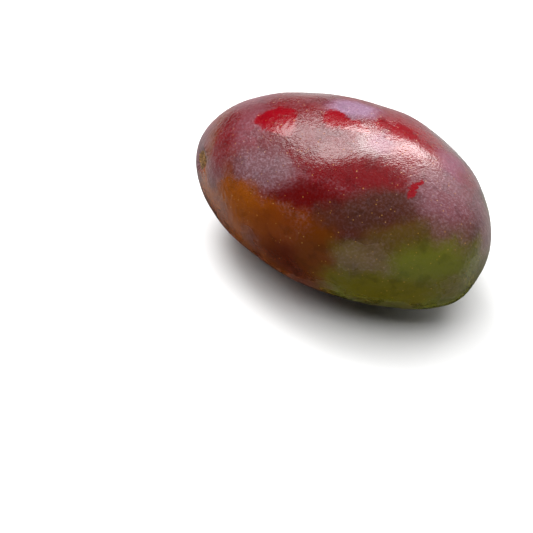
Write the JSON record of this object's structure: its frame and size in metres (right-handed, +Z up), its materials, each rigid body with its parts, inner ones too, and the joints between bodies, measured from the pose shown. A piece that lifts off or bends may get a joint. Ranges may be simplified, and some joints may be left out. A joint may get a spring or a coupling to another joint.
{
  "type": "mango",
  "caption": "Whole ripe mango lying on its flatter cheek: an oblong fruit with a swollen nose at the apex, speckled red and green skin, and a dried stalk stub in a shallow hollow.",
  "frame": {"origin": "middle of the bounding box in plan, on the surface that the fruit lies on", "axes": "+X along the fruit from the stalk end to the apex, +Z up, out of the upper cheek, -Y out of the belly side, where the nose swells"},
  "size_m": [0.1302, 0.0844, 0.0735],
  "materials": {
    "skin": "waxy, half-gloss peel, crimson and burgundy turning brown and olive green on the lower side, dusted with grey bloom and dotted with fine pale pores",
    "stem": "dry, dark olive-brown, corky"
  },
  "bodies": {
    "root": {"mango_fruit": "skin", "stem_stub": "stem"}
  },
  "joints": []
}
